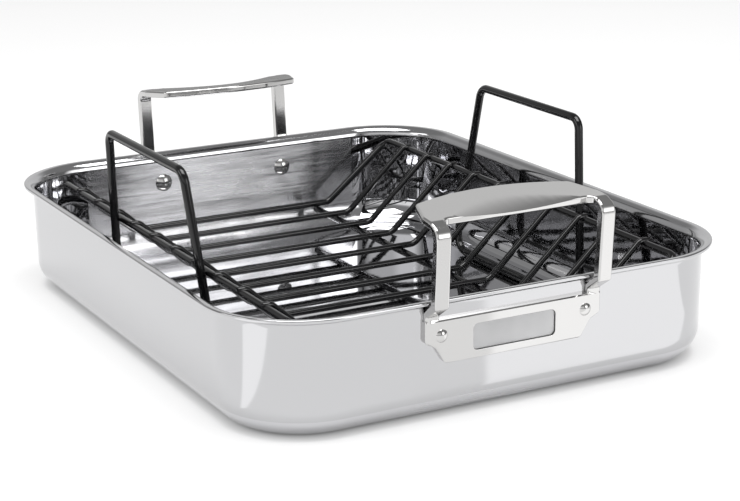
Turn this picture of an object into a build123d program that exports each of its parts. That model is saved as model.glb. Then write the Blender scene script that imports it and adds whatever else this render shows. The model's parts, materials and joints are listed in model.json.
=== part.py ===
from build123d import *
from math import cos, radians, sin, tan
import os

os.makedirs("parts", exist_ok=True)

# Roasting pan with a lift-out wire rack. All lengths are in millimetres, all angles in degrees.
# +Z is up and the pan's flat underside lies on z = 0. X runs along the pan, from handle to handle,
# Y across it, and the origin is the middle of the underside.

# Pan body: pressed three-ply sheet with a flared pouring lip
rim_length = 410.0
rim_width = 329.5
pan_height = 72.2
rim_corner = 59.3
sheet = 2.4
lip_flare = 5.84
lip_brim = 1.6
lip_edge_round = 0.8
wall_taper_angle = 0.75
base_round = 18.5

# Handle casting: wall plate, two posts and a dished grip
rivet_below_rim = 21.7
rivet_spread = 94.4
plate_thickness = 3.2
plate_width = 115.0
plate_rise = 9.0
plate_drop = 16.5
plate_step_drop = 3.3
plate_notch_drop = 6.4
plate_notch_width = 102.0
plate_foot_width = 89.4
plate_corner_round = 3.0
plate_edge_bevel = 0.7
post_width = 9.0
post_depth = 5.8
post_gap_to_lip = 2.2
post_foot_below_rim = 2.7
shoulder_rise = 11.8
shoulder_gap_to_lip = 1.2
post_foot_round = 2.0
shoulder_round = 1.4
post_lean = 3.0
post_edge_round = 1.3
grip_above_rim = 49.4
grip_tilt_rise = 3.6
grip_thickness = 4.6
grip_reach = 36.0
grip_setback = 0.2
grip_bow = 10.0
grip_tip_width = 101.0
grip_tip_round = 5.0
grip_side_run = 5.5
grip_side_round = 12.0
grip_lap = 5.0
grip_shoulder_run = 2.7
grip_shoulder_drop = 4.2
grip_bend_round = 8.0
grip_inner_round = 4.6
grip_edge_round = 1.3
web_round = 4.0
web_edge_round = 1.2
scoop_depth = 2.6
scoop_reach = 20.0
scoop_width = 88.0
panel_width = 54.0
panel_height = 15.3
panel_centre_drop = 4.1
panel_depth = 0.9
panel_round = 3.0
panel_edge_round = 0.4

# Rivets through the plate and the pan wall
rivet_shank = 5.6
rivet_fit = 0.05
rivet_head = 7.6
rivet_head_rise = 1.7
rivet_inner_head = 12.6
rivet_inner_rise = 2.9

# Rack: one perimeter wire, cross wires, two stringers and two lift loops
frame_wire = 4.8
cross_wire = 4.2
loop_wire = 5.5
weld_gap = 0.05
weld_sink = 2.9
rest_gap = 0.3
rack_end_room = 25.0
rack_side_room = 37.25
rail_height = 64.3
flat_spread = 154.0
flat_height = 23.4
frame_bend = 7.0
cross_bend = 9.0
cross_end_bend = 5.0
cross_end_run = 6.4
cross_count = 10
stringer_spread = 136.0
loop_top_height = 124.5
loop_top_width = 120.0
loop_foot_width = 158.0
loop_lean_angle = 4.5
loop_top_bend = 8.5
loop_foot_bend = 12.0

# One overrun serves every cut
overrun = 1.0

# The handles keep their places below and above the rim, and the rack its room inside it
rivet_height = pan_height - rivet_below_rim
post_foot_height = pan_height - post_foot_below_rim
grip_height = pan_height + grip_above_rim
rack_length = rim_length - 2 * rack_end_room
rail_spread = rim_width - 2 * rack_side_room


# The pan's wall section, with u measured outwards from the rim's outer edge
def wall_frame():
    """Centres of the base round and of the lip round, and the lip round's outer radius."""
    taper = radians(wall_taper_angle)
    lip_round = (lip_flare - lip_brim) / cos(taper)
    lip_centre = (-lip_brim, pan_height - sheet - lip_round)
    wall_top_z = lip_centre[1] + lip_round * sin(taper)
    wall_u = -lip_flare - (wall_top_z - base_round) * tan(taper)
    base_centre = (wall_u - base_round / cos(taper), base_round)
    return base_centre, lip_centre, lip_round


def wall_line(depth):
    """The wall's line at a depth into the sheet: base round, tapered wall, lip round and level brim."""
    base_centre, lip_centre, lip_round = wall_frame()
    base = CenterArc(base_centre, base_round - depth, -90, 90 - wall_taper_angle)
    lip = CenterArc(lip_centre, lip_round + depth, 180 - wall_taper_angle, wall_taper_angle - 90)
    brim_z = lip_centre[1] + lip_round + depth
    return base + Line(base @ 1, lip @ 0) + lip + Line((lip_centre[0], brim_z), (0, brim_z))


def wall_section():
    """The wall as a closed section, its lip's edge rounded."""
    outer = wall_line(0)
    inner = wall_line(sheet)
    base_centre, _, _ = wall_frame()
    foot = Line((base_centre[0], 0), (base_centre[0], sheet))
    brink = Line((0, pan_height - sheet), (0, pan_height))
    section = make_face([*outer.edges(), *inner.edges(), foot, brink])
    lip_corners = section.vertices().sort_by(Axis.X)[-2:]
    return fillet(lip_corners, lip_edge_round)


def pan_body():
    """Floor plate and swept wall, pierced for the handle rivets."""
    path = RectangleRounded(rim_length, rim_width, rim_corner).wire()
    start = path @ 0
    tangent = path % 0
    outward = tangent.cross(Vector(0, 0, 1))
    if outward.dot(start) < 0:
        outward = -outward
    place = Plane(origin=start, x_dir=outward, z_dir=outward.cross(Vector(0, 0, 1)))
    wall = sweep(place * wall_section(), path)
    base_centre, _, _ = wall_frame()
    inset = -base_centre[0]
    floor_plan = RectangleRounded(rim_length - 2 * inset, rim_width - 2 * inset, rim_corner - inset)
    body = wall + extrude(floor_plan, sheet)
    holes = handle_place() * rivet_holes(sheet + overrun)
    return body - holes - Rotation(0, 0, 180) * holes


# Places on the handle's end wall
def wall_x(height):
    """Distance of the wall's outer face from the middle of the pan, at a height."""
    base_centre, _, _ = wall_frame()
    taper = radians(wall_taper_angle)
    wall_u = base_centre[0] + base_round / cos(taper)
    return rim_length / 2 + wall_u + (height - base_round) * tan(taper)


def handle_place():
    """A plane on the wall's outer face at the rivets, x across the pan, y up the wall, z outwards."""
    taper = radians(wall_taper_angle)
    origin = (wall_x(rivet_height), 0, rivet_height)
    return Plane(origin=origin, x_dir=(0, 1, 0), z_dir=(cos(taper), 0, -sin(taper)))


def rivet_spots():
    """The two rivet centres on the wall."""
    return [(-rivet_spread / 2, 0), (rivet_spread / 2, 0)]


def rivet_holes(depth):
    """Clearance cylinders for both rivets, reaching as far in as out."""
    hole = Cylinder(rivet_shank / 2 + rivet_fit, 2 * depth)
    return Compound([Pos(*spot, 0) * hole for spot in rivet_spots()])


# Handle casting
def plate_outline():
    """Wall plate: straight sides that step in through an S-shaped notch to a narrower foot."""
    side = plate_width / 2
    notch = plate_notch_width / 2
    foot = plate_foot_width / 2
    half = [
        (side, plate_rise),
        (side, -plate_step_drop),
        (notch, -plate_notch_drop),
        (foot, -plate_drop),
    ]
    other = [(-x, y) for x, y in reversed(half)]
    rounds = [0, plate_corner_round, plate_corner_round, plate_corner_round]
    return make_face(FilletPolyline(*half, *other, radius=rounds + rounds[::-1], close=True))


def wall_plate():
    """The plate that lies on the wall, with its bevelled rim and its shallow sunk panel."""
    plate = extrude(plate_outline(), plate_thickness)
    front = plate.faces().sort_by(Axis.Z)[-1]
    plate = chamfer(front.edges(), plate_edge_bevel)
    panel = RectangleRounded(panel_width, panel_height, panel_round)
    plate -= extrude(Pos(0, -panel_centre_drop, plate_thickness) * panel, panel_depth, both=True)
    brink = plate.faces().sort_by(Axis.Z)[-1].inner_wires()[0]
    return fillet(brink.edges(), panel_edge_round)


def grip_front_x():
    """Distance of the grip's front edge from the middle of the pan."""
    return rim_length / 2 - grip_setback


def grip_top_z(inward):
    """Height of the grip's sloping top face, at a distance inward from its front edge."""
    return grip_height - grip_tilt_rise + grip_tilt_rise * inward / grip_reach


def side_profile():
    """A strap seen from the side: plate top, sloping shoulder, post, bend and arm."""
    _, lip_centre, _ = wall_frame()
    foot_in = rim_length / 2 + post_gap_to_lip
    foot_out = foot_in + post_depth
    head_in = foot_in + post_lean
    head_out = foot_out + post_lean
    shoulder = rivet_height + shoulder_rise
    shoulder_back = lip_centre[1] - shoulder_gap_to_lip
    end_x = grip_front_x() - grip_lap
    brow_x = grip_front_x() + grip_shoulder_run
    brow_z = grip_top_z(-grip_shoulder_run)
    outer = [
        (wall_x(rivet_height) + plate_thickness, rivet_height),
        (wall_x(shoulder) + plate_thickness, shoulder),
        (foot_out, post_foot_height),
        (head_out, brow_z - grip_shoulder_drop),
        (brow_x, brow_z),
        (end_x, grip_top_z(grip_lap)),
    ]
    inner = [
        (end_x, grip_top_z(grip_lap) - grip_thickness),
        (head_in, grip_top_z(grip_front_x() - head_in) - grip_thickness),
        (foot_in, post_foot_height + post_foot_round),
        (wall_x(shoulder_back), shoulder_back),
        (wall_x(rivet_height), rivet_height),
    ]
    outer_rounds = [0, post_foot_round, post_foot_round, grip_bend_round, grip_bend_round, 0]
    inner_rounds = [0, grip_inner_round, post_foot_round, shoulder_round, 0]
    points = [Vector(x, 0, z) for x, z in outer + inner]
    return make_face(FilletPolyline(*points, radius=outer_rounds + inner_rounds, close=True))


def strap():
    """One post with its shoulder below and its arm above, the long edges rounded."""
    bar = extrude(side_profile(), post_width / 2, both=True)
    edges = bar.faces().filter_by(Axis.Y).edges()
    ends = edges.filter_by(Axis.X) + edges.filter_by(Axis.Z)
    return fillet([edge for edge in edges if edge not in ends], post_edge_round)


def grip_plan():
    """The grip seen square to its top: straight front, tapering sides, round tips and a bowed back."""
    side = plate_width / 2
    tip_in = grip_reach - grip_bow
    edge = [(0, -side), (-grip_side_run, -side), (-tip_in, -grip_tip_width / 2)]
    other = [(x, -y) for x, y in reversed(edge)]
    back = ThreePointArc(edge[-1], (-grip_reach, 0), other[0])
    outline = Polyline(*edge) + back + Polyline(*other) + Line(other[-1], edge[0])
    face = make_face(outline.edges())
    face = fillet(face.vertices().group_by(Axis.X)[0], grip_tip_round)
    return fillet(face.vertices().group_by(Axis.X)[-2], grip_side_round)


def scoop():
    """Large cylinder that dishes the grip's front, deepest at the edge and running out to a crease."""
    radius = scoop_width ** 2 / (8 * scoop_depth) + scoop_depth / 2
    front = Vector(grip_front_x(), 0, grip_top_z(0) - scoop_depth)
    crease = Vector(grip_front_x() - scoop_reach, 0, grip_top_z(scoop_reach))
    along = (crease - front).normalized()
    up = Vector(0, 1, 0).cross(along)
    place = Plane(origin=front + up * radius, x_dir=(0, 1, 0), z_dir=along)
    return place * Cylinder(radius, 4 * grip_reach)


def grip():
    """The dished grip: a sloping slab cut to its plan, with its outer edges rounded."""
    slope = Vector(grip_reach, 0, -grip_tilt_rise).normalized()
    place = Plane(
        origin=(grip_front_x(), 0, grip_top_z(0)), x_dir=slope, z_dir=slope.cross(Vector(0, 1, 0))
    )
    slab = extrude(place * grip_plan(), -grip_thickness * slope.X)
    return fillet(slab.edges(), grip_edge_round) - scoop()


def web():
    """Filled corner between the +Y arm and the grip's front edge."""
    reach = web_round
    lap = post_edge_round
    corner = plate_width / 2 - post_width
    front = grip_front_x()
    block = Pos(front + (reach - lap) / 2, corner - (reach - lap) / 2) * Rectangle(reach + lap, reach + lap)
    hollow = Pos(front + reach, corner - reach) * Circle(reach)
    low = grip_top_z(0) - grip_thickness - grip_inner_round
    column = extrude(Pos(0, 0, low) * (block - hollow), grip_height - low)
    shape = extrude(side_profile(), plate_width / 2, both=True) & column
    hollow_wall = shape.faces().filter_by(GeomType.CYLINDER).sort_by(lambda face: abs(face.normal_at().Z))[0]
    return fillet(hollow_wall.edges().filter_by(GeomType.LINE, reverse=True), web_edge_round)


def handle():
    """One casting for the +X end, with its rivet holes."""
    half = Pos(0, (plate_width - post_width) / 2, 0) * strap() + web()
    shape = grip() + half + mirror(half, about=Plane.XZ)
    shape += handle_place() * wall_plate()
    return shape - handle_place() * rivet_holes(plate_thickness + overrun)


def dome_radius(half_width, rise):
    """Radius of a dome from half its width and its rise."""
    return (half_width ** 2 + rise ** 2) / (2 * rise)


def rivet():
    """Dome-headed rivet along local z, its outer head on the plate and its inner head in the pan."""
    shank_r = rivet_shank / 2
    head_r = rivet_head / 2
    inner_r = rivet_inner_head / 2
    top = plate_thickness + rivet_head_rise
    bottom = -sheet - rivet_inner_rise
    outline = [
        Line((0, bottom), (0, top)),
        RadiusArc((0, top), (head_r, plate_thickness), dome_radius(head_r, rivet_head_rise)),
        Polyline((head_r, plate_thickness), (shank_r, plate_thickness), (shank_r, -sheet), (inner_r, -sheet)),
        RadiusArc((inner_r, -sheet), (0, bottom), dome_radius(inner_r, rivet_inner_rise)),
    ]
    edges = [edge for line in outline for edge in line.edges()]
    return revolve(Plane.XZ * make_face(edges), Axis.Z)


def rivets():
    """The pair of rivets of the +X handle, as separate solids."""
    return [handle_place() * Pos(*spot, 0) * rivet() for spot in rivet_spots()]


# Rack
def wire_along(path, diameter):
    """Round wire along a path of straight runs and tangent bends."""
    start = Plane(origin=path @ 0, z_dir=path % 0)
    return sweep(start * Circle(diameter / 2), path)


def frame_path():
    """The perimeter wire: level side rails whose ends dip across the rack."""
    end = rack_length / 2
    rail = rail_spread / 2
    flat = flat_spread / 2
    side = [
        Vector(-end, -rail, rail_height),
        Vector(end, -rail, rail_height),
        Vector(end, -flat, flat_height),
        Vector(end, flat, flat_height),
    ]
    other = [Vector(-p.X, -p.Y, p.Z) for p in side]
    return FilletPolyline(*side, *other, radius=frame_bend, close=True).wire()


def rack_frame():
    """The closed perimeter wire."""
    return wire_along(frame_path(), frame_wire)


def cross_path():
    """The path of a cross wire: pressed on to both rails, it dips to a flat between them."""
    rail = rail_spread / 2
    over = rail_height + (frame_wire + cross_wire) / 2 - weld_sink
    low = stringer_height() + (frame_wire + cross_wire) / 2 + weld_gap
    half = [
        Vector(0, -rail - frame_wire / 2, over),
        Vector(0, -rail - frame_wire / 2 + cross_end_run, over),
        Vector(0, -flat_spread / 2, low),
    ]
    other = [Vector(0, -p.Y, p.Z) for p in reversed(half)]
    bends = [cross_end_bend, cross_bend, cross_bend, cross_end_bend]
    return FilletPolyline(*half, *other, radius=bends).wire()


def cross_bar():
    """A cross wire in the middle of the rack, its ends saddled where the welds sink them into the rails."""
    bar = wire_along(cross_path(), cross_wire)
    length = 2 * cross_wire
    saddle = Rotation(0, 90, 0) * Cylinder(frame_wire / 2 + weld_gap, length)
    for side in (-1, 1):
        below = Pos(0, side * cross_wire, -cross_wire) * Box(length, length, length)
        bar -= Pos(0, side * rail_spread / 2, rail_height) * (saddle + below)
    return bar


def cross_places():
    """The cross wires' places along the rack, evenly spaced between its two ends."""
    step = rack_length / (cross_count + 1)
    return [step * (i + 1) - rack_length / 2 for i in range(cross_count)]


def stringer_height():
    """Centre of the stringers, which run right under the flats."""
    return flat_height - frame_wire - weld_gap


def stringer(y):
    """Straight wire under the flats, level with the rack's ends."""
    half = (rack_length + frame_wire) / 2
    place = Plane(origin=(-half, y, stringer_height()), z_dir=(1, 0, 0))
    return extrude(place * Circle(frame_wire / 2), 2 * half)


def loop_path():
    """The +Y lift loop: a closed ring that leans outwards, touches the rail and stands on the floor."""
    foot_z = sheet + rest_gap + loop_wire / 2
    rail_y = rail_spread / 2 + (frame_wire + loop_wire) / 2 + weld_gap
    lean = tan(radians(loop_lean_angle))
    top_y = rail_y + (loop_top_height - rail_height) * lean
    foot_y = rail_y - (rail_height - foot_z) * lean
    points = [
        Vector(-loop_top_width / 2, top_y, loop_top_height),
        Vector(loop_top_width / 2, top_y, loop_top_height),
        Vector(loop_foot_width / 2, foot_y, foot_z),
        Vector(-loop_foot_width / 2, foot_y, foot_z),
    ]
    bends = [loop_top_bend, loop_top_bend, loop_foot_bend, loop_foot_bend]
    return FilletPolyline(*points, radius=bends, close=True).wire()


def lift_loop():
    """The +Y lift loop."""
    return wire_along(loop_path(), loop_wire)


def write(name, *solids):
    """One file for each node."""
    shape = solids[0] if len(solids) == 1 else Compound(list(solids))
    shape.label = name
    export_step(shape, f"parts/{name}.step")


def main():
    """Build every node and write it."""
    turned = Rotation(0, 0, 180)
    write("pan_body", pan_body())
    casting = handle()
    write("handle_front", casting)
    write("handle_rear", turned * casting)
    pair = rivets()
    write("handle_rivets_front", *pair)
    write("handle_rivets_rear", *[turned * one for one in pair])
    write("rack_frame", rack_frame())
    bar = cross_bar()
    for number, x in enumerate(cross_places(), start=1):
        write(f"cross_wire_{number:02d}", Pos(x, 0, 0) * bar)
    write("stringer_left", stringer(-stringer_spread / 2))
    write("stringer_right", stringer(stringer_spread / 2))
    loop = lift_loop()
    write("lift_loop_right", loop)
    write("lift_loop_left", turned * loop)


main()
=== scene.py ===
"""Looks for the roasting pan with its lift-out rack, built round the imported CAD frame.

Lengths are in metres. Whole surfaces are worked out as arrays of points, in the frame's own axes.
"""

import json
from math import cos, pi, radians, sin, tan

import bmesh
import bpy
import numpy as np
from mathutils import Matrix, Vector

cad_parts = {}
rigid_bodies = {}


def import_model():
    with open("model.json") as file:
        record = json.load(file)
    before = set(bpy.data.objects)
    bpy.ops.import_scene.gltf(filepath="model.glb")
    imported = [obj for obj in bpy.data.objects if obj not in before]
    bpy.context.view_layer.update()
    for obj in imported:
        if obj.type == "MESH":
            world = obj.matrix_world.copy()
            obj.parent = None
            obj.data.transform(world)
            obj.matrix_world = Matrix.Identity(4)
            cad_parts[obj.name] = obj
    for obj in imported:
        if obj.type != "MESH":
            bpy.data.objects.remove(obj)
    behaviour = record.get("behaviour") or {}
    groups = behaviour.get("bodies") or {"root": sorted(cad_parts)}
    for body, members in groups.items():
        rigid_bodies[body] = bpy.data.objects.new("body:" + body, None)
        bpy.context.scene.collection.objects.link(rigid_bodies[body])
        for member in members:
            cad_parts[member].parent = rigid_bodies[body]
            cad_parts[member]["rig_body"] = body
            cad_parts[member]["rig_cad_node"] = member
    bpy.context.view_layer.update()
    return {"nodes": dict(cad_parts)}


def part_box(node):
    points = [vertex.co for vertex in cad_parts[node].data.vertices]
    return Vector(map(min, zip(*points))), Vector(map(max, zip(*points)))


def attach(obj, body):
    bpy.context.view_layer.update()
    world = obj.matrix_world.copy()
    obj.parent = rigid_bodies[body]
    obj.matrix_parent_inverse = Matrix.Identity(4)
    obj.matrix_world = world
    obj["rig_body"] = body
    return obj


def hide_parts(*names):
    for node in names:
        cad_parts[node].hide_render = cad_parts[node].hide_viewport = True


bl_info = {
    "name": "Roasting pan with rack",
    "version": (1, 0, 0),
    "blender": (4, 5, 0),
    "location": "View3D > Sidebar > Roasting pan",
    "description": "Polished pan, cast handles, rivets and a coated wire rack on the packed frame",
    "category": "Object",
}

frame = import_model()
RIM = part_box("pan_body")
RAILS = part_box("rack_frame")
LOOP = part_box("lift_loop_right")


# Values that a user would change
class PanSettings(bpy.types.PropertyGroup):
    """Sheet, bends and finish of the pan body."""

    sheet: bpy.props.FloatProperty(
        name="Sheet", description="Thickness of the pressed sheet", default=0.0024, unit="LENGTH")
    rim_corner: bpy.props.FloatProperty(
        name="Rim corner", description="Corner radius of the rim, seen from above",
        default=0.0593, unit="LENGTH")
    base_round: bpy.props.FloatProperty(
        name="Base round", description="Outer radius where the floor turns up into the wall",
        default=0.0185, unit="LENGTH")
    lip_flare: bpy.props.FloatProperty(
        name="Lip flare", description="How far the lip stands out from the wall",
        default=0.00584, unit="LENGTH")
    lip_brim: bpy.props.FloatProperty(
        name="Lip brim", description="Level run at the lip's edge", default=0.0016, unit="LENGTH")
    lip_edge: bpy.props.FloatProperty(
        name="Lip edge", description="Rounding of the lip's edge", default=0.0008, unit="LENGTH")
    taper: bpy.props.FloatProperty(
        name="Taper", description="Lean of the wall", default=radians(0.75), subtype="ANGLE")
    colour: bpy.props.FloatVectorProperty(
        name="Steel", description="Colour of the polished steel", default=(0.60, 0.60, 0.615),
        subtype="COLOR", min=0, max=1)
    outer_colour: bpy.props.FloatVectorProperty(
        name="Outer steel", description="Colour of the outside's magnetic steel",
        default=(0.53, 0.53, 0.54), subtype="COLOR", min=0, max=1)
    outer_roughness: bpy.props.FloatProperty(
        name="Outside roughness", description="Roughness of the satin outside",
        default=0.09, min=0, max=1)
    mirror_roughness: bpy.props.FloatProperty(
        name="Mirror roughness", description="Roughness of the mirror floor and side walls",
        default=0.03, min=0, max=1)
    rolled_roughness: bpy.props.FloatProperty(
        name="Rolled roughness", description="Roughness of the rolled end walls",
        default=0.22, min=0, max=1)
    rolled_pull: bpy.props.FloatProperty(
        name="Rolled pull", description="How far the rolled grain draws a reflection out upwards",
        default=1.0, min=0, max=1)
    grain: bpy.props.FloatProperty(
        name="Grain", description="Height of the rolled grain", default=0.000006, unit="LENGTH")


class HandleSettings(bpy.types.PropertyGroup):
    """Rivets and finish of the two castings."""

    rivet_height: bpy.props.FloatProperty(
        name="Rivet height", description="Height of the rivets", default=0.0505, unit="LENGTH")
    rivet_spread: bpy.props.FloatProperty(
        name="Rivet spread", description="Distance between a handle's rivets",
        default=0.0944, unit="LENGTH")
    plate: bpy.props.FloatProperty(
        name="Plate", description="Thickness of the wall plate", default=0.0032, unit="LENGTH")
    head: bpy.props.FloatProperty(
        name="Outer head", description="Width of a rivet's outer head", default=0.0076, unit="LENGTH")
    head_rise: bpy.props.FloatProperty(
        name="Outer head rise", description="Height of the outer head", default=0.0017, unit="LENGTH")
    inner_head: bpy.props.FloatProperty(
        name="Inner head", description="Width of a rivet's inner head", default=0.0126, unit="LENGTH")
    inner_rise: bpy.props.FloatProperty(
        name="Inner head rise", description="Height of the inner head", default=0.0029, unit="LENGTH")
    panel_width: bpy.props.FloatProperty(
        name="Panel width", description="Width of the sunk panel", default=0.054, unit="LENGTH")
    panel_height: bpy.props.FloatProperty(
        name="Panel height", description="Height of the sunk panel", default=0.0153, unit="LENGTH")
    panel_drop: bpy.props.FloatProperty(
        name="Panel drop", description="Panel's middle below the rivets", default=0.0041, unit="LENGTH")
    panel_depth: bpy.props.FloatProperty(
        name="Panel depth", description="Depth of the sunk panel", default=0.0009, unit="LENGTH")
    panel_colour: bpy.props.FloatVectorProperty(
        name="Panel steel", description="Colour of the panel's ground", default=(0.47, 0.47, 0.475),
        subtype="COLOR", min=0, max=1)
    # Painted shade: the sunk panel's walls are near black to stand for the shade in the recess
    recess_shade_colour: bpy.props.FloatVectorProperty(
        name="Panel walls", description="Colour of the panel's unpolished walls",
        default=(0.06, 0.06, 0.06), subtype="COLOR", min=0, max=1)
    panel_roughness: bpy.props.FloatProperty(
        name="Panel roughness", description="Roughness of the blasted ground of the panel",
        default=0.5, min=0, max=1)
    colour: bpy.props.FloatVectorProperty(
        name="Cast steel", description="Colour of the castings", default=(0.585, 0.58, 0.575),
        subtype="COLOR", min=0, max=1)
    roughness: bpy.props.FloatProperty(
        name="Roughness", description="Roughness of the castings", default=0.08, min=0, max=1)


class RackSettings(bpy.types.PropertyGroup):
    """Wires and coating of the rack."""

    frame_wire: bpy.props.FloatProperty(
        name="Frame wire", description="Thickness of the perimeter wire and the stringers",
        default=0.0048, unit="LENGTH")
    cross_wire: bpy.props.FloatProperty(
        name="Cross wire", description="Thickness of the cross wires", default=0.0042, unit="LENGTH")
    loop_wire: bpy.props.FloatProperty(
        name="Loop wire", description="Thickness of the lift loops", default=0.0055, unit="LENGTH")
    flat_spread: bpy.props.FloatProperty(
        name="Flat", description="Width of the flat at the bottom of the cradle",
        default=0.154, unit="LENGTH")
    frame_bend: bpy.props.FloatProperty(
        name="Frame bend", description="Bend radius of the perimeter wire",
        default=0.007, unit="LENGTH")
    cross_bend: bpy.props.FloatProperty(
        name="Cross bend", description="Bend radius of the cross wires",
        default=0.009, unit="LENGTH")
    end_bend: bpy.props.FloatProperty(
        name="End bend", description="Bend radius beside the rails", default=0.0036, unit="LENGTH")
    end_run: bpy.props.FloatProperty(
        name="End run", description="Level run of a cross wire over a rail",
        default=0.0056, unit="LENGTH")
    weld_sink: bpy.props.FloatProperty(
        name="Weld sink", description="How far the welds press the cross wires into the rails",
        default=0.0029, unit="LENGTH")
    cross_count: bpy.props.IntProperty(
        name="Cross wires", description="How many cross wires", default=10)
    stringer_spread: bpy.props.FloatProperty(
        name="Stringer spread", description="Distance between the stringers",
        default=0.136, unit="LENGTH")
    loop_top: bpy.props.FloatProperty(
        name="Loop top", description="Width of a lift loop's top, between its wires' middles",
        default=0.120, unit="LENGTH")
    loop_foot: bpy.props.FloatProperty(
        name="Loop foot", description="Width of a lift loop's foot", default=0.158, unit="LENGTH")
    loop_top_bend: bpy.props.FloatProperty(
        name="Top bend", description="Bend radius at a loop's top", default=0.0085, unit="LENGTH")
    loop_foot_bend: bpy.props.FloatProperty(
        name="Foot bend", description="Bend radius at a loop's foot", default=0.012, unit="LENGTH")
    colour: bpy.props.FloatVectorProperty(
        name="Coating", description="Colour of the coating", default=(0.004, 0.004, 0.0045),
        subtype="COLOR", min=0, max=1)
    roughness: bpy.props.FloatProperty(
        name="Roughness", description="Roughness of the coating", default=0.10, min=0, max=1)


class StudioSettings(bpy.types.PropertyGroup):
    """Camera, table and light."""

    azimuth: bpy.props.FloatProperty(
        name="Azimuth", description="Direction of the camera round the pan",
        default=radians(62.01), subtype="ANGLE")
    elevation: bpy.props.FloatProperty(
        name="Elevation", description="Height of the camera above the table",
        default=radians(16.19), subtype="ANGLE")
    roll: bpy.props.FloatProperty(
        name="Roll", description="Tilt of the camera", default=radians(-0.71), subtype="ANGLE")
    distance: bpy.props.FloatProperty(
        name="Distance", description="Camera to its aim", default=1.25967, unit="LENGTH")
    lens: bpy.props.FloatProperty(
        name="Lens", description="Focal length on a 36 mm sensor, in millimetres", default=94.05)
    floor_tone: bpy.props.FloatProperty(
        name="Floor", description="Tone of the table", default=0.50, min=0, max=1)
    floor_glow: bpy.props.FloatProperty(
        name="Floor glow", description="Light that the lit table gives back", default=0.55, min=0)
    # Painted light: how much more the table glows in its pools of light, which brighten what the pan's walls
    # mirror
    light_pool_glow: bpy.props.FloatProperty(
        name="Paper glow", description="What a bright paper adds to the table's light",
        default=0.33, min=0)
    # The table's painted shadow under the pan: darkest over the pan's flat base, fading out past its round
    base_length: bpy.props.FloatProperty(
        name="Base length", description="Length of the pan's flat base",
        default=0.358, unit="LENGTH")
    base_width: bpy.props.FloatProperty(
        name="Base width", description="Width of the pan's flat base", default=0.278, unit="LENGTH")
    base_corner: bpy.props.FloatProperty(
        name="Base corner", description="Corner radius of the pan's flat base",
        default=0.035, unit="LENGTH")
    shade_reach: bpy.props.FloatProperty(
        name="Shade reach", description="How far past the flat base the shade under the pan goes",
        default=0.022, unit="LENGTH")
    shade_least: bpy.props.FloatProperty(
        name="Least light", description="Share of the table's light that is left under the pan",
        default=0.05, min=0, max=1)
    room: bpy.props.FloatProperty(
        name="Room", description="Brightness of the white cards round the pan", default=4.0, min=0)


# Mesh helpers
MERGE_DISTANCE = 0.000001


def unit(vectors):
    """Vectors divided by their own lengths."""
    return vectors / np.linalg.norm(vectors, axis=-1, keepdims=True)


def grid_quads(rows, columns, wrap_rows):
    """Index quads of a grid of points whose rows are rings: each point joined to the next in its row and in
    its column, and the last row to the first where the rows wrap."""
    row = np.arange(rows if wrap_rows else rows - 1)[:, None]
    column = np.arange(columns)[None, :]
    below = (row + 1) % rows
    beside = (column + 1) % columns
    corners = ((row, column), (row, beside), (below, beside), (below, column))
    return np.stack([i * columns + j for i, j in corners], -1).reshape(-1, 4)


def outward(points, quads):
    """The quads turned so that the closed surface's volume, summed over its faces, is positive."""
    a, b, c, d = (points[quads[:, k]] for k in range(4))
    volume = np.einsum("ij,ij->i", a, np.cross(b, c)) + np.einsum("ij,ij->i", a, np.cross(c, d))
    return quads if volume.sum() > 0 else quads[:, ::-1]


def surface(grid, wrap_rows=False):
    """Points and outward quads of a grid of rings; where the rows don't wrap, its ends are already shrunk to
    a point."""
    rows, columns = grid.shape[:2]
    points = grid.reshape(-1, 3)
    return points, outward(points, grid_quads(rows, columns, wrap_rows))


def joined(parts):
    """Several (points, quads) pairs as one."""
    starts = np.cumsum([0] + [len(points) for points, _ in parts[:-1]])
    return (np.concatenate([points for points, _ in parts]),
            np.concatenate([quads + start for (_, quads), start in zip(parts, starts)]))


def piece(name, shape, body, material, replaced):
    """A smooth mesh object at the origin that rides on a body and stands for CAD nodes."""
    points, quads = shape
    mesh = bpy.data.meshes.new(name)
    mesh.from_pydata(points.tolist(), [], quads.tolist())
    mesh.validate()
    mesh.shade_smooth()
    made = bpy.data.objects.new(name, mesh)
    bpy.context.scene.collection.objects.link(made)
    weld = made.modifiers.new("weld", "WELD")
    weld.merge_threshold = MERGE_DISTANCE
    mesh.materials.append(material)
    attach(made, body)
    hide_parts(*replaced)
    return made


def turned(shape):
    """A shape turned half round the vertical axis."""
    points, quads = shape
    return points * np.array([-1.0, -1.0, 1.0]), quads


# Lines. How many points a bend has and how many a wire's circle, then how an open wire's ends are rounded: in
# how many points, and over the wire's radius divided by how much
BEND_STEPS = 12
WIRE_SIDES = 28
NOSE_STEPS = 5
NOSE_PART = 3


def bent_line(corners, radii):
    """A line through corners, where each corner with a radius becomes the arc tangent to both of its runs.
    The first corner follows the last, and the ends of an open line have a radius of 0."""
    corners = np.array(corners, float)
    count = len(corners)
    parts = []
    for index, radius in enumerate(radii):
        corner = corners[index]
        if radius == 0:
            parts.append(corner[None, :])
            continue
        back = unit(corners[index - 1] - corner)
        ahead = unit(corners[(index + 1) % count] - corner)
        half = np.arccos(np.clip(back @ ahead, -1, 1)) / 2
        centre = corner + unit(back + ahead) * radius / sin(half)
        start = unit(corner + back * radius / tan(half) - centre)
        angles = np.linspace(0, pi - 2 * half, BEND_STEPS)[:, None]
        parts.append(centre + radius * (np.cos(angles) * start - np.sin(angles) * back))
    return np.concatenate(parts)


def tangents(line, closed):
    """Unit tangents of a line: each point's mean of the runs before and after it."""
    runs = unit(np.roll(line, -1, 0) - line)
    if closed:
        return unit(runs + np.roll(runs, 1, 0))
    before = np.concatenate([runs[:1], runs[:-1]])
    after = np.concatenate([runs[:-1], runs[-2:-1]])
    return unit(before + after)


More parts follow.
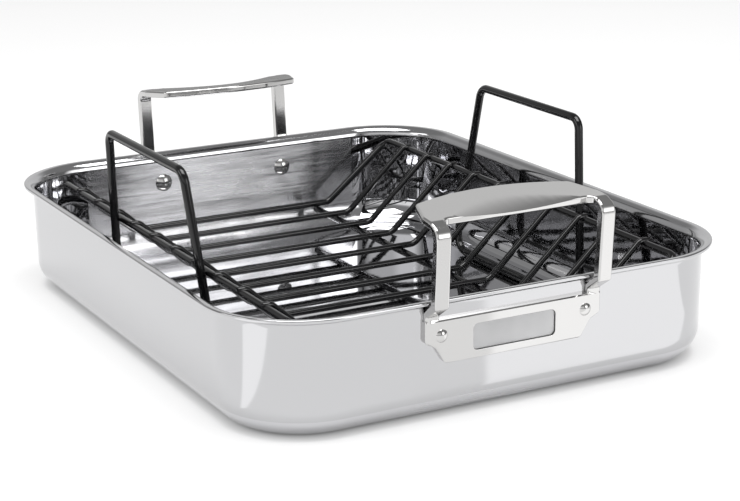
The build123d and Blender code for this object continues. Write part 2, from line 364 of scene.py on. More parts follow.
def wire(line, diameter, aside, closed=False):
    """A circle carried along a line; the ends of an open wire close in quarter rounds. Aside is a direction
    that the line never runs along, from which the circle's points are counted."""
    radius = diameter / 2
    along = tangents(line, closed)
    scale = np.ones(len(line))
    if not closed:
        turn = np.linspace(0, pi / 2, NOSE_STEPS)
        nose = radius / NOSE_PART
        shrink = 1 - (1 - np.cos(turn)) / NOSE_PART
        reach = np.sin(turn) * nose
        first, last = line[0] + along[0] * nose, line[-1] - along[-1] * nose
        head = first - along[0] * reach[::-1, None]
        tail = last + along[-1] * reach[:, None]
        line = np.concatenate([head[:1], head, line[1:-1], tail, tail[-1:]])
        ends = [np.repeat(end, NOSE_STEPS + 1, 0) for end in (along[:1], along[-1:])]
        along = np.concatenate([ends[0], along[1:-1], ends[1]])
        scale = np.concatenate([[0], shrink[::-1], scale[1:-1], shrink, [0]])
    normal = unit(aside - np.sum(along * aside, -1, keepdims=True) * along)
    other = np.cross(along, normal)
    angle = np.linspace(0, 2 * pi, WIRE_SIDES, endpoint=False)[None, :, None]
    ring = np.cos(angle) * normal[:, None] + np.sin(angle) * other[:, None]
    return surface(line[:, None] + radius * scale[:, None, None] * ring, wrap_rows=closed)


# Materials. Scales of noise are in cells to the metre, and heights of bumps in metres
NOISE_MIDDLE = (0.3, 0.7)
# The inside walls' grain is this many times as high as the floor's, and this share of the end walls' blur
# comes from their streaks, the rest from their clouds
WALL_GRAIN = 3
STREAK_SHARE = 0.5
# How far from the middle of an end wall its blur starts to fall and has fallen, and to what share
BURNISH_START = 0.055
BURNISH_END = 0.095
BURNISH_LEAST = 0.5


def new_material(name, colour, metallic=0.0):
    """A node material of one colour, its node tree and its main shader."""
    material = bpy.data.materials.new(name)
    material.use_nodes = True
    tree = material.node_tree
    shader = tree.nodes["Principled BSDF"]
    shader.inputs["Base Color"].default_value = (*colour, 1)
    shader.inputs["Metallic"].default_value = metallic
    return material, tree, shader


def reckoned(tree, operation, *values):
    """The output of a Math node over sockets and plain numbers."""
    node = tree.nodes.new("ShaderNodeMath")
    node.operation = operation
    for socket, value in zip(node.inputs, values):
        if isinstance(value, (int, float)):
            socket.default_value = value
        else:
            tree.links.new(value, socket)
    return node.outputs["Value"]


def ranged(tree, source, start, end, first, last, kind="SMOOTHSTEP"):
    """A value moved from one range to another and held at its ends, smoothly unless the kind is LINEAR."""
    node = tree.nodes.new("ShaderNodeMapRange")
    node.interpolation_type = kind
    ranges = {"From Min": start, "From Max": end, "To Min": first, "To Max": last}
    for key, value in ranges.items():
        node.inputs[key].default_value = value
    tree.links.new(source, node.inputs["Value"])
    return node.outputs["Result"]


def object_axes(tree):
    """The Object coordinates, one output for each axis."""
    place = tree.nodes.new("ShaderNodeTexCoord")
    split = tree.nodes.new("ShaderNodeSeparateXYZ")
    tree.links.new(place.outputs["Object"], split.inputs["Vector"])
    return split.outputs


def object_noise(tree, scale, stretch=(1, 1, 1), detail=4.0):
    """Noise on Object coordinates, stretched along the axes."""
    place = tree.nodes.new("ShaderNodeTexCoord")
    mapping = tree.nodes.new("ShaderNodeMapping")
    noise = tree.nodes.new("ShaderNodeTexNoise")
    mapping.inputs["Scale"].default_value = stretch
    noise.inputs["Scale"].default_value = scale
    noise.inputs["Detail"].default_value = detail
    tree.links.new(place.outputs["Object"], mapping.inputs["Vector"])
    tree.links.new(mapping.outputs["Vector"], noise.inputs["Vector"])
    return noise.outputs["Fac"]


def varied(tree, source, value, least, most):
    """A value that goes from its least share to its most over a noise's middle range."""
    return ranged(tree, source, *NOISE_MIDDLE, value * least, value * most, kind="LINEAR")


def bumped(tree, shader, source, height, before=None):
    """Bump of a height from a noise value, after another bump if there is one."""
    bump = tree.nodes.new("ShaderNodeBump")
    bump.inputs["Strength"].default_value = 1.0
    bump.inputs["Distance"].default_value = height
    tree.links.new(source, bump.inputs["Height"])
    if before:
        tree.links.new(before, bump.inputs["Normal"])
    tree.links.new(bump.outputs["Normal"], shader.inputs["Normal"])
    return bump.outputs["Normal"]


def dented(tree, shader, height):
    """The slow dents of the pressing, as a bump."""
    return bumped(tree, shader, object_noise(tree, scale=16, detail=2), height)


def steel(name, colour, roughness, wave, grain):
    """Polished steel: faint roughness patches, a slow wave of the surface and a fine even grain."""
    material, tree, shader = new_material(name, colour, metallic=1.0)
    patches = varied(tree, object_noise(tree, scale=60), roughness, least=0.85, most=1.2)
    tree.links.new(patches, shader.inputs["Roughness"])
    slow = bumped(tree, shader, object_noise(tree, scale=9, detail=1), wave)
    bumped(tree, shader, object_noise(tree, scale=900), grain, slow)
    return material


def mirror_steel(name, colour, roughness, grain, dent):
    """Mirror sheet: faint rolling streaks that run across the pan, and the slow dents of the pressing."""
    material, tree, shader = new_material(name, colour, metallic=1.0)
    streaks = object_noise(tree, scale=260, stretch=(1, 0.045, 1), detail=3)
    uneven = varied(tree, streaks, roughness, least=0.6, most=1.8)
    tree.links.new(uneven, shader.inputs["Roughness"])
    bumped(tree, shader, streaks, grain, dented(tree, shader, dent))
    return material


def burnished(tree):
    """1 in the middle of the end walls, falling to the least value towards the corners, whose sheet was
    burnished as it was drawn round the die."""
    across = reckoned(tree, "ABSOLUTE", object_axes(tree)["Y"])
    return ranged(tree, across, BURNISH_START, BURNISH_END, 1.0, BURNISH_LEAST)


def rolled_steel(name, colour, roughness, grain, dent, pull):
    """End walls, whose rolled grain lies level: it draws reflections out up and down the wall, along the
    piece's own UV map, more in some streaks and cloudy patches than in others."""
    material, tree, shader = new_material(name, colour, metallic=1.0)
    shader.inputs["Anisotropic"].default_value = pull
    tangent = tree.nodes.new("ShaderNodeTangent")
    tangent.direction_type = "UV_MAP"
    tangent.uv_map = "surface"
    tree.links.new(tangent.outputs["Tangent"], shader.inputs["Tangent"])
    streaks = object_noise(tree, scale=420, stretch=(1, 0.05, 1), detail=4)
    clouds = object_noise(tree, scale=45, stretch=(1, 0.35, 1), detail=3)
    cloudy = reckoned(tree, "MULTIPLY", clouds, 1 - STREAK_SHARE)
    both = reckoned(tree, "MULTIPLY_ADD", streaks, STREAK_SHARE, cloudy)
    uneven = varied(tree, both, roughness, least=0.5, most=1.5)
    tree.links.new(reckoned(tree, "MULTIPLY", uneven, burnished(tree)), shader.inputs["Roughness"])
    bumped(tree, shader, streaks, grain, dented(tree, shader, dent))
    return material


def coating(name, colour, roughness, peel):
    """Black non-stick coating: slightly uneven gloss and a fine orange peel."""
    material, tree, shader = new_material(name, colour)
    shader.inputs["Specular IOR Level"].default_value = 0.5
    uneven = varied(tree, object_noise(tree, scale=150), roughness, least=0.8, most=1.25)
    tree.links.new(uneven, shader.inputs["Roughness"])
    bumped(tree, shader, object_noise(tree, scale=1400), peel)
    return material


def kept(name, make, colour, roughness, **values):
    """A material made once and then shared."""
    return bpy.data.materials.get(name) or make(name, tuple(colour), roughness, **values)


def outer_steel():
    s = bpy.context.scene.roaster_pan
    return kept("outside_steel", steel, s.outer_colour, s.outer_roughness, wave=0.00006, grain=0.000001)


def end_wall_steel():
    s = bpy.context.scene.roaster_pan
    return kept("rolled_end_walls", rolled_steel, s.colour, s.rolled_roughness,
                grain=s.grain * WALL_GRAIN, dent=0.00015, pull=s.rolled_pull)


def side_wall_steel():
    s = bpy.context.scene.roaster_pan
    return kept("mirror_side_walls", mirror_steel, s.colour, s.mirror_roughness,
                grain=s.grain * WALL_GRAIN, dent=0.0003)


def floor_steel():
    s = bpy.context.scene.roaster_pan
    return kept("mirror_floor", mirror_steel, s.colour, s.mirror_roughness, grain=s.grain, dent=0.0001)


def cast_steel():
    s = bpy.context.scene.roaster_handle
    return kept("handle_casting", steel, s.colour, s.roughness, wave=0.00002, grain=0.000002)


def panel_ground():
    s = bpy.context.scene.roaster_handle
    return kept("panel_ground", steel, s.panel_colour, s.panel_roughness, wave=0.00002, grain=0.00002)


# Painted shade: dark steel on the sunk panel's walls, for the shade in the recess
def panel_wall_shade():
    s = bpy.context.scene.roaster_handle
    return kept("panel_wall_shade", steel, s.recess_shade_colour, s.panel_roughness, wave=0.00002, grain=0.00002)


def rivet_steel():
    s = bpy.context.scene.roaster_handle
    return kept("rivet_heads", steel, s.colour, s.roughness, wave=0.00001, grain=0.000003)


def black_coating():
    s = bpy.context.scene.roaster_rack
    return kept("wire_coating", coating, s.colour, s.roughness, peel=0.000004)


# Pan. How many points the wall's arcs, a rim corner and the runs in to the floor's middle have, and how
# closely those runs' points stand together in the middle
BASE_STEPS = 18
LIP_STEPS_OUTSIDE = 10
LIP_STEPS_INSIDE = 14
EDGE_STEPS = 6
CORNER_STEPS = 20
FLOOR_STEPS = 9
FLOOR_CROWDING = 0.8
# A face is on the floor if its middle lies below this many times the sheet's thickness
FLOOR_LEVEL = 1.02
# The pan's finishes, in the order of its materials
OUTSIDE, END_WALL, SIDE_WALL, FLOOR = range(4)


def wall_places(s):
    """Centres of the base round and of the lip round as (inset, height), and the lip round's radius on the
    outside of the sheet."""
    lip_round = (s.lip_flare - s.lip_brim) / cos(s.taper)
    lip_centre = (s.lip_brim, RIM[1].z - s.sheet - lip_round)
    wall_top = lip_centre[1] + lip_round * sin(s.taper)
    wall_inset = s.lip_flare + (wall_top - s.base_round) * tan(s.taper)
    base_centre = (wall_inset + s.base_round / cos(s.taper), s.base_round)
    return base_centre, lip_centre, lip_round


def arc(centre, radius, start, end, steps):
    """Points of an arc in the (inset, height) plane; an angle of 0 points outwards and a quarter turn up."""
    angle = np.linspace(start, end, steps)
    return np.stack([centre[0] - radius * np.cos(angle), centre[1] + radius * np.sin(angle)], -1)


def wall_profile(s):
    """The pan's wall from under the floor, up the outside, over the lip and down the inside to the floor."""
    base_centre, lip_centre, lip_round = wall_places(s)
    top = RIM[1].z
    edge = s.lip_edge
    down, up = -pi / 2, pi / 2
    return np.concatenate([
        arc(base_centre, s.base_round, down, -s.taper, BASE_STEPS),
        arc(lip_centre, lip_round, pi - s.taper, up, LIP_STEPS_OUTSIDE),
        arc((edge, top - s.sheet + edge), edge, down, 0, EDGE_STEPS),
        arc((edge, top - edge), edge, 0, up, EDGE_STEPS),
        arc(lip_centre, lip_round + s.sheet, up, pi - s.taper, LIP_STEPS_INSIDE),
        arc(base_centre, s.base_round - s.sheet, -s.taper, down, BASE_STEPS),
    ])


def rim_directions():
    """The outward directions round each of the rim's four corners, seen from above."""
    angle = np.linspace(0, pi / 2, CORNER_STEPS)
    turns = np.arange(4)[:, None] * pi / 2 + angle[None, :]
    return np.stack([np.cos(turns), np.sin(turns)], -1)


def pan_shell(s):
    """The wall profile carried round the rim, with the two faces of the floor drawn in to its middle, and
    for each point its run along the profile and its share of the way round. Seen from above, a point lies at
    its corner's centre plus its outward direction times the corner's radius less the point's inset."""
    profile = wall_profile(s)
    directions = rim_directions()
    signs = np.array([[1, 1], [-1, 1], [-1, -1], [1, -1]])[:, None, :]
    half = np.array([RIM[1].x, RIM[1].y])
    centres = np.broadcast_to(signs * (half - s.rim_corner), directions.shape).reshape(-1, 2)
    directions = directions.reshape(-1, 2)
    reach = (s.rim_corner - profile[:, 0])[:, None, None]
    plan = centres[None] + reach * directions[None]
    height = np.repeat(profile[:, 1][:, None, None], plan.shape[1], 1)
    wall = np.concatenate([plan, height], -1)
    shrink = np.linspace(0, 1, FLOOR_STEPS)[:, None, None] ** FLOOR_CROWDING
    inwards = np.concatenate([shrink, shrink, np.ones_like(shrink)], -1)
    under = wall[:1] * inwards
    floor = wall[-1:] * inwards[::-1]
    grid = np.concatenate([under[:-1], wall, floor[1:]])
    along = np.linalg.norm(np.diff(grid[:, 0], axis=0), axis=-1).cumsum()
    run = np.repeat(np.concatenate([[0], along])[:, None], grid.shape[1], 1)
    turn = np.repeat(np.linspace(0, 1, grid.shape[1], endpoint=False)[None], grid.shape[0], 0)
    return surface(grid), np.stack([run, turn], -1).reshape(-1, 2)


def finishes(shape, s):
    """The finish of each face. An end wall's is on its straight inside, and a side wall's on all the rest
    of the wall inside. Inside is within the wall's middle line and above the floor's."""
    points, quads = shape
    middle = points[quads].mean(1)
    base_centre, lip_centre, _ = wall_places(s)
    half = np.array([RIM[1].x, RIM[1].y]) - s.rim_corner
    past = np.abs(middle[:, :2]) - half
    inset = s.rim_corner - np.hypot(*np.maximum(past, 0).T)
    wall_inset = base_centre[0] - (s.base_round - s.sheet / 2) / cos(s.taper)
    inner = (inset > wall_inset) & (middle[:, 2] > s.sheet / 2) & (middle[:, 2] < lip_centre[1])
    floor = middle[:, 2] < s.sheet * FLOOR_LEVEL
    end = (past[:, 0] > 0) & (past[:, 1] < 0)
    wall = np.where(end, END_WALL, SIDE_WALL)
    return np.where(inner, np.where(floor, FLOOR, wall), OUTSIDE).astype(np.int32)


def unwrapped(mesh, places):
    """A UV map named surface, from a pair of values for each vertex."""
    vertices = np.empty(len(mesh.loops), np.int32)
    mesh.loops.foreach_get("vertex_index", vertices)
    values = places[vertices].astype(np.float32).ravel()
    mesh.uv_layers.new(name="surface").data.foreach_set("uv", values)


class ROASTER_OT_pan(bpy.types.Operator):
    """Make the pan body"""

    bl_idname = "roaster.pan"
    bl_label = "Pan body"

    def execute(self, context):
        s = context.scene.roaster_pan
        shape, places = pan_shell(s)
        made = piece("pan_shell", shape, "pan", outer_steel(), ["pan_body"])
        unwrapped(made.data, places)
        for finish in (end_wall_steel, side_wall_steel, floor_steel):
            made.data.materials.append(finish())
        made.data.polygons.foreach_set("material_index", finishes(shape, s))
        return {"FINISHED"}


# Handles. Facets that meet at less than the first angle are one flat face, and the edge between faces that
# meet at more than the second is sharp
FLAT_ANGLE = radians(0.2)
SHARP_ANGLE = radians(28)
# A face counts as the sunk panel's up to this far past the panel's sides. Its ground faces out of the wall
# by at least the first of these cosines, and its walls by no more than the second
PANEL_MARGIN = 0.0002
GROUND_FACING = 0.95
WALL_FACING = 0.7
# The castings' finishes, in the order of their materials; the sunk panel's walls get a dark steel that stands
# for painted shade in the recess
CASTING, PANEL_GROUND, SHADED_PANEL_WALLS = range(3)
RIVET_SIDES = 40
DOME_STEPS = 9


def merged_copy(node, name, body, material):
    """A copy of a CAD node with its doubles merged and its normals smoothed between sharp edges."""
    source = frame["nodes"][node]
    made = source.copy()
    made.data = source.data.copy()
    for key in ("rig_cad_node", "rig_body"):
        del made[key]
    made.parent = None
    made.name = name
    bpy.context.scene.collection.objects.link(made)
    work = bmesh.new()
    work.from_mesh(made.data)
    bmesh.ops.remove_doubles(work, verts=work.verts, dist=MERGE_DISTANCE)
    bmesh.ops.dissolve_limit(work, angle_limit=FLAT_ANGLE, verts=work.verts, edges=work.edges)
    work.to_mesh(made.data)
    work.free()
    made.data.materials.clear()
    made.data.materials.append(material)
    made.data.shade_smooth()
    made.data.set_sharp_from_angle(angle=SHARP_ANGLE)
    weighted = made.modifiers.new("weighted normals", "WEIGHTED_NORMAL")
    weighted.keep_sharp = True
    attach(made, body)
    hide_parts(node)
    return made


class ROASTER_OT_handles(bpy.types.Operator):
    """Make the two cast handles"""

    bl_idname = "roaster.handles"
    bl_label = "Cast handles"

    def execute(self, context):
        pan, s = context.scene.roaster_pan, context.scene.roaster_handle
        for end in ("front", "rear"):
            made = merged_copy(f"handle_{end}", f"cast_handle_{end}", "pan", cast_steel())
            made.data.materials.append(panel_ground())
            made.data.materials.append(panel_wall_shade())
            made.data.polygons.foreach_set("material_index", panel_faces(made.data, pan, s))
        return {"FINISHED"}


def dome(width, rise):
    """A spherical cap's profile as (radius, height), from its pole to its rim."""
    radius = (width ** 2 / 4 + rise ** 2) / (2 * rise)
    angle = np.linspace(0, np.arccos(1 - rise / radius), DOME_STEPS)
    return np.stack([radius * np.sin(angle), rise - radius * (1 - np.cos(angle))], -1)


def wall_spot(pan, s):
    """The point on the +X wall midway between the rivets, and the directions out of and up the wall."""
    base_centre, _, _ = wall_places(pan)
    wall_inset = base_centre[0] - pan.base_round / cos(pan.taper)
    lean = (s.rivet_height - pan.base_round) * tan(pan.taper)
    foot = np.array([RIM[1].x - wall_inset + lean, 0, s.rivet_height])
    out = np.array([cos(pan.taper), 0, -sin(pan.taper)])
    return foot, out, np.array([sin(pan.taper), 0, cos(pan.taper)])


def panel_faces(mesh, pan, s):
    """The finish of each face of a casting: the ground of its sunk panel, the panel's walls, painted dark as
    the shade in the recess, and the rest.
    """
    middle = np.empty(len(mesh.polygons) * 3)
    facing = np.empty(len(mesh.polygons) * 3)
    mesh.polygons.foreach_get("center", middle)
    mesh.polygons.foreach_get("normal", facing)
    middle, facing = middle.reshape(-1, 3), facing.reshape(-1, 3)
    end = np.sign(middle[0, 0])
    turn = np.array([end, end, 1])
    foot, out, up = wall_spot(pan, s)
    away = middle * turn - foot
    depth, rise = away @ out, away @ up + s.panel_drop
    ground = s.plate - s.panel_depth
    faces_out = (facing * turn) @ out
    within = np.abs(away[:, 1]) < s.panel_width / 2 + PANEL_MARGIN
    within &= np.abs(rise) < s.panel_height / 2 + PANEL_MARGIN
    level = within & (np.abs(depth - ground) < s.panel_depth / 4) & (faces_out > GROUND_FACING)
    shaded_walls = within & (depth > ground) & (depth < s.plate) & (faces_out < WALL_FACING)
    return np.where(shaded_walls, SHADED_PANEL_WALLS, np.where(level, PANEL_GROUND, CASTING)).astype(np.int32)


def rivet(pan, s, side):
    """A rivet's two domes and shank turned round its axis, set square to the leaning end wall."""
    outer = dome(s.head, s.head_rise) + [0, s.plate]
    inner = (dome(s.inner_head, s.inner_rise) * [1, -1])[::-1] - [0, pan.sheet]
    outline = np.concatenate([outer, inner])
    turn = np.linspace(0, 2 * pi, RIVET_SIDES, endpoint=False)
    middle, out, up = wall_spot(pan, s)
    across = np.array([0.0, 1.0, 0.0])
    foot = middle + across * side * s.rivet_spread / 2
    spoke = np.cos(turn)[:, None] * across + np.sin(turn)[:, None] * up
    return surface(foot + outline[:, None, 1:] * out + outline[:, None, :1] * spoke[None])


class ROASTER_OT_rivets(bpy.types.Operator):
    """Make the four handle rivets"""

    bl_idname = "roaster.rivets"
    bl_label = "Rivets"

    def execute(self, context):
        pan, s = context.scene.roaster_pan, context.scene.roaster_handle
        pair = joined([rivet(pan, s, side) for side in (-1, 1)])
        for end, shape in (("front", pair), ("rear", turned(pair))):
            piece(f"rivets_{end}", shape, "pan", rivet_steel(), [f"handle_rivets_{end}"])
        return {"FINISHED"}


# Rack. The welds leave this gap between a cross wire and the stringers under it
WELD_GAP = 0.00005


def rack_places(s):
    """Half the length of the perimeter wire and half the spread of its rails, between the wire's middles, and
    the heights of its rails, of its dipped ends and of the stringers."""
    half = s.frame_wire / 2
    length = RAILS[1].x - half
    rail = RAILS[1].y - half
    high = RAILS[1].z - half
    low = RAILS[0].z + half
    below = (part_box("stringer_left")[0].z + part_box("stringer_left")[1].z) / 2
    return length, rail, high, low, below


def perimeter(s):
    """The perimeter wire: level side rails whose ends dip across the rack."""
    length, rail, high, low, _ = rack_places(s)
    flat = s.flat_spread / 2
    side = [(-length, -rail, high), (length, -rail, high), (length, -flat, low), (length, flat, low)]
    corners = side + [(-x, -y, z) for x, y, z in side]
    line = bent_line(corners, [s.frame_bend] * len(corners))
    return wire(line, s.frame_wire, np.array([1.0, 1.0, 1.0]), closed=True)


def cross_places(s):
    """The cross wires' places along the rack, evenly spaced between its two ends."""
    length = rack_places(s)[0]
    return np.linspace(-length, length, s.cross_count + 2)[1:-1]


def cross_wire(s, x):
    """A cross wire: its ends are pressed on to both rails and it dips to a flat between them."""
    _, rail, high, _, below = rack_places(s)
    pitch = (s.frame_wire + s.cross_wire) / 2
    end, over, low = rail + s.frame_wire / 2, high + pitch - s.weld_sink, below + pitch + WELD_GAP
    half = [(x, -end, over), (x, s.end_run - end, over), (x, -s.flat_spread / 2, low)]
    corners = half + [(x, -y, z) for _, y, z in reversed(half)]
    bends = [0, s.end_bend, s.cross_bend]
    line = bent_line(corners, bends + bends[::-1])
    return wire(line, s.cross_wire, np.array([1.0, 0.0, 0.0]))


class ROASTER_OT_frame(bpy.types.Operator):
    """Make the rack's perimeter wire and stringers"""

    bl_idname = "roaster.frame"
    bl_label = "Rack frame"

    def execute(self, context):
        s = context.scene.roaster_rack
        piece("perimeter_wire", perimeter(s), "rack", black_coating(), ["rack_frame"])
        length, _, _, _, below = rack_places(s)
        end = length + s.frame_wire / 2
        for name, side in (("left", -1), ("right", 1)):
            y = side * s.stringer_spread / 2
            line = np.array([(-end, y, below), (0, y, below), (end, y, below)])
            shape = wire(line, s.frame_wire, np.array([0.0, 0.0, 1.0]))
            piece(f"flat_stringer_{name}", shape, "rack", black_coating(),
                  [f"stringer_{name}"])
        return {"FINISHED"}


class ROASTER_OT_cross_wires(bpy.types.Operator):
    """Make the cross wires"""

    bl_idname = "roaster.cross_wires"
    bl_label = "Cross wires"

    def execute(self, context):
        s = context.scene.roaster_rack
        for number, x in enumerate(cross_places(s), start=1):
            piece(f"cradle_wire_{number:02d}", cross_wire(s, x), "rack",
                  black_coating(), [f"cross_wire_{number:02d}"])
        return {"FINISHED"}


def loop(s):
    """The +Y lift loop: a closed ring in a plane that leans outwards, from the floor to its top."""
    half = s.loop_wire / 2
    top = (LOOP[1].y - half, LOOP[1].z - half)
    foot = (LOOP[0].y + half, LOOP[0].z + half)
    corners = [(-s.loop_top / 2, *top), (s.loop_top / 2, *top),
               (s.loop_foot / 2, *foot), (-s.loop_foot / 2, *foot)]
    bends = [s.loop_top_bend, s.loop_top_bend, s.loop_foot_bend, s.loop_foot_bend]
    line = bent_line(corners, bends)
    aside = np.array([0.0, top[1] - foot[1], foot[0] - top[0]])
    return wire(line, s.loop_wire, aside, closed=True)


class ROASTER_OT_loops(bpy.types.Operator):
    """Make the two lift loops"""

    bl_idname = "roaster.loops"
    bl_label = "Lift loops"

    def execute(self, context):
        shape = loop(context.scene.roaster_rack)
        for name, part in (("right", shape), ("left", turned(shape))):
            piece(f"carry_loop_{name}", part, "rack", black_coating(),
                  [f"lift_loop_{name}"])
        return {"FINISHED"}


# Studio
CAMERA_AIM = Vector((0.00213, 0.01514, 0.040))
# Tones round the room by the share of a turn: 0 and 1 are beyond the pan, 0.25 is to the camera's left, 0.5
# is the camera's own side and 0.75 is to its right
WALL_TONES = [
    (0.0, 0.19), (0.055, 0.19), (0.09, 0.14), (0.21, 0.10), (0.30, 0.06), (0.35, 0.28), (0.42, 0.28),
    (0.46, 0.20), (0.56, 0.20), (0.60, 0.06), (0.628, 0.10), (0.637, 1.0), (0.655, 1.0), (0.668, 0.50),
    (0.70, 0.50), (0.74, 0.05), (0.87, 0.05), (0.93, 0.19), (1.0, 0.19),
]
# The tone of ceiling and skirting, and how much of it there is by a direction's height: 0 is level or lower
# and 1 is straight up
CEILING_TONE = 0.07
CEILING_SHARES = [
    (0.0, 0.9), (0.05, 0.9), (0.14, 0.0), (0.44, 0.0), (0.50, 0.45), (0.58, 0.9), (0.66, 1.0), (1.0, 1.0),
]
# Painted pools of light on the table, where it glows brighter. A point is in one where, for each of its
# terms, x times the first number and y times the second come to more than the third, in metres, give or take
# the soft edge
PAINTED_LIGHT_POOLS = [
    [(-0.522, 0.853, -0.117), (0.56, -0.83, -0.056), (1.0, 0.0, 0.215), (-1.0, 0.0, -0.70)],
    [(1.0, -0.11, 0.176), (-0.74, -0.67, 0.007), (0.0, -1.0, 0.185), (0.0, 1.0, -0.70)],
]
LIGHT_POOL_EDGE = 0.003
TABLE_REACH = 6.0


def tone_ramp(tree, source, stops):
    """A grey ramp over a value, from (position, tone) stops."""
    ramp = tree.nodes.new("ShaderNodeValToRGB")
    elements = ramp.color_ramp.elements
    elements[0].position, elements[1].position = stops[0][0], stops[-1][0]
    for position, _ in stops[1:-1]:
        elements.new(position)
    for element, (_, tone) in zip(elements, stops):
        element.color = (tone, tone, tone, 1)
    tree.links.new(source, ramp.inputs["Fac"])
    return ramp.outputs["Color"]


def world_light(s):
    """The studio round the table, by direction: a share of a turn round the vertical axis, set so that the
    camera's own side is at a half, and a height. White cards stand round the pan, brightest on the right,
    between a dim skirting and a dim ceiling."""
    world = bpy.data.worlds.new("studio")
    bpy.context.scene.world = world
    world.use_nodes = True
    tree = world.node_tree
    place = tree.nodes.new("ShaderNodeTexCoord")
    turn = tree.nodes.new("ShaderNodeMapping")
    turn.vector_type = "VECTOR"
    turn.inputs["Rotation"].default_value = (0, 0, pi / 2 - s.azimuth)
    tree.links.new(place.outputs["Generated"], turn.inputs["Vector"])
    split = tree.nodes.new("ShaderNodeSeparateXYZ")
    tree.links.new(turn.outputs["Vector"], split.inputs["Vector"])
    around = reckoned(tree, "ARCTAN2", split.outputs["Y"], split.outputs["X"])
    share = ranged(tree, around, -pi, pi, 0.0, 1.0, kind="LINEAR")
    mix = tree.nodes.new("ShaderNodeMix")
    mix.data_type = "RGBA"
    tree.links.new(tone_ramp(tree, split.outputs["Z"], CEILING_SHARES), mix.inputs["Factor"])
    tree.links.new(tone_ramp(tree, share, WALL_TONES), mix.inputs["A"])
    mix.inputs["B"].default_value = (CEILING_TONE, CEILING_TONE, CEILING_TONE, 1)
    background = tree.nodes["Background"]
    background.inputs["Strength"].default_value = s.room
    tree.links.new(mix.outputs["Result"], background.inputs["Color"])


def softbox(name, place, aim, size, power):
    """A rectangular soft light of a power in watts that looks at its aim."""
    light = bpy.data.lights.new(name, "AREA")
    light.shape = "RECTANGLE"
    light.size, light.size_y = size
    light.energy = power
    made = bpy.data.objects.new(name, light)
    bpy.context.scene.collection.objects.link(made)
    made.location = place
    made.rotation_mode = "QUATERNION"
    made.rotation_quaternion = (Vector(aim) - Vector(place)).to_track_quat("-Z", "Y")


def camera(s):
    """The photograph's viewpoint."""
    level = cos(s.elevation)
    back = Vector((sin(s.azimuth) * level, -cos(s.azimuth) * level, sin(s.elevation)))
    right = (-back).cross(Vector((0, 0, 1))).normalized()
    up = right.cross(-back)
    turned_right = right * cos(s.roll) + up * sin(s.roll)
    turned_up = up * cos(s.roll) - right * sin(s.roll)
    data = bpy.data.cameras.new("camera")
    data.sensor_width = 36
    data.lens = s.lens
    data.clip_start, data.clip_end = 0.05, 50
    made = bpy.data.objects.new("camera", data)
    bpy.context.scene.collection.objects.link(made)
    matrix = Matrix((turned_right, turned_up, back)).transposed().to_4x4()
    matrix.translation = CAMERA_AIM + back * s.distance
    made.matrix_world = matrix
    bpy.context.scene.camera = made


def painted_pan_shadow(tree, x, y, s):
    """How much of the table's glow is left, as a painted shadow: little under the pan's flat base, all beyond
    its round.
    """
    sides = []
    for along, half in ((x, s.base_length / 2), (y, s.base_width / 2)):
        past = reckoned(tree, "SUBTRACT", reckoned(tree, "ABSOLUTE", along), half - s.base_corner)
        sides.append(reckoned(tree, "POWER", reckoned(tree, "MAXIMUM", past, 0.0), 2.0))
    away = reckoned(tree, "SQRT", reckoned(tree, "ADD", *sides))
    return ranged(tree, away, s.base_corner, s.base_corner + s.shade_reach, s.shade_least, 1.0)


def in_light_pool(tree, x, y, light_pool):
    """1 in a painted pool of light on the table, which is the common part of the half planes that its terms
    give, and 0 off it.
    """
    left = None
    for across, along, offset in light_pool:
        past = reckoned(tree, "MULTIPLY_ADD", x, across, reckoned(tree, "MULTIPLY", y, along))
        part = ranged(tree, past, offset - LIGHT_POOL_EDGE, offset + LIGHT_POOL_EDGE, 0.0, 1.0)
        left = part if left is None else reckoned(tree, "MULTIPLY", left, part)
    return left


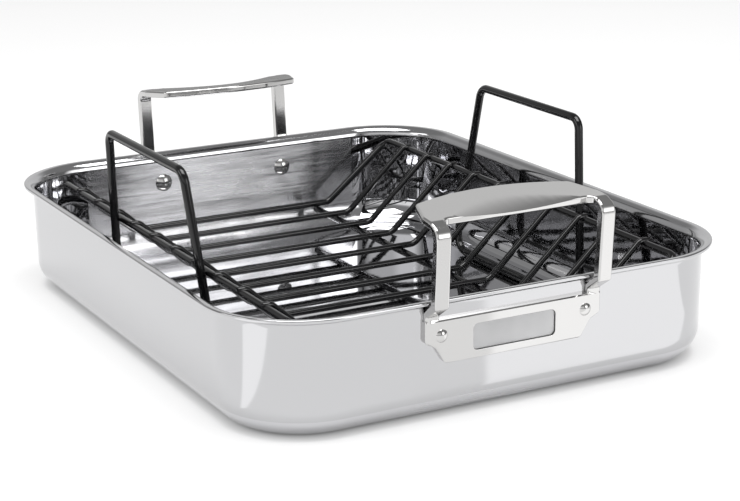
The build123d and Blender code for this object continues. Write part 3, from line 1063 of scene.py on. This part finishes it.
def table(s):
    """A wide pale table that glows from within: its glow fades under the pan as a painted shadow, and is
    stronger in painted pools of light.
    """
    corners = [(TABLE_REACH * x, TABLE_REACH * y, 0) for x, y in ((-1, -1), (1, -1), (1, 1), (-1, 1))]
    mesh = bpy.data.meshes.new("table")
    mesh.from_pydata(corners, [], [(0, 1, 2, 3)])
    made = bpy.data.objects.new("table", mesh)
    bpy.context.scene.collection.objects.link(made)
    material, tree, shader = new_material("glowing_table", [s.floor_tone] * 3)
    shader.inputs["Roughness"].default_value = 0.8
    shader.inputs["Specular IOR Level"].default_value = 0.0
    shader.inputs["Emission Color"].default_value = (1, 1, 1, 1)
    axes = object_axes(tree)
    x, y = axes["X"], axes["Y"]
    # Painted shadow: the table's glow is dimmed under the pan
    light = reckoned(tree, "MULTIPLY", painted_pan_shadow(tree, x, y, s), s.floor_glow)
    # Painted light: the table glows brighter in its pools of light
    for light_pool in PAINTED_LIGHT_POOLS:
        light = reckoned(tree, "MULTIPLY_ADD", in_light_pool(tree, x, y, light_pool), s.light_pool_glow, light)
    tree.links.new(light, shader.inputs["Emission Strength"])
    mesh.materials.append(material)


class ROASTER_OT_studio(bpy.types.Operator):
    """Make the table, the light and the camera"""

    bl_idname = "roaster.studio"
    bl_label = "Studio"

    def execute(self, context):
        s = context.scene.roaster_studio
        world_light(s)
        table(s)
        softbox("ceiling_box", place=(0.25, -0.05, 1.9), aim=(0, 0, 0), size=(1.7, 1.1), power=34)
        softbox("left_box", place=(-0.4, -1.9, 1.2), aim=(0, 0, 0.05), size=(1.2, 0.6), power=6)
        camera(s)
        context.scene.view_settings.view_transform = "Standard"
        return {"FINISHED"}


class ROASTER_PT_panel(bpy.types.Panel):
    """The pieces of the roasting pan"""

    bl_idname = "ROASTER_PT_panel"
    bl_label = "Roasting pan"
    bl_space_type = "VIEW_3D"
    bl_region_type = "UI"
    bl_category = "Roasting pan"

    def draw(self, context):
        for operator in STEPS:
            self.layout.operator(operator.bl_idname)


SETTINGS = {
    "roaster_pan": PanSettings,
    "roaster_handle": HandleSettings,
    "roaster_rack": RackSettings,
    "roaster_studio": StudioSettings,
}
STEPS = [
    ROASTER_OT_studio,
    ROASTER_OT_pan,
    ROASTER_OT_handles,
    ROASTER_OT_rivets,
    ROASTER_OT_frame,
    ROASTER_OT_cross_wires,
    ROASTER_OT_loops,
]


def register():
    for group in SETTINGS.values():
        bpy.utils.register_class(group)
    for operator in STEPS:
        bpy.utils.register_class(operator)
    bpy.utils.register_class(ROASTER_PT_panel)
    for name, group in SETTINGS.items():
        setattr(bpy.types.Scene, name, bpy.props.PointerProperty(type=group))


def unregister():
    for name in SETTINGS:
        delattr(bpy.types.Scene, name)
    bpy.utils.unregister_class(ROASTER_PT_panel)
    for operator in reversed(STEPS):
        bpy.utils.unregister_class(operator)
    for group in reversed(SETTINGS.values()):
        bpy.utils.unregister_class(group)


def main():
    """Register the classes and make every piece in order."""
    register()
    for operator in STEPS:
        group, name = operator.bl_idname.split(".")
        getattr(getattr(bpy.ops, group), name)()
    bpy.context.view_layer.update()


if __name__ == "__main__":
    main()
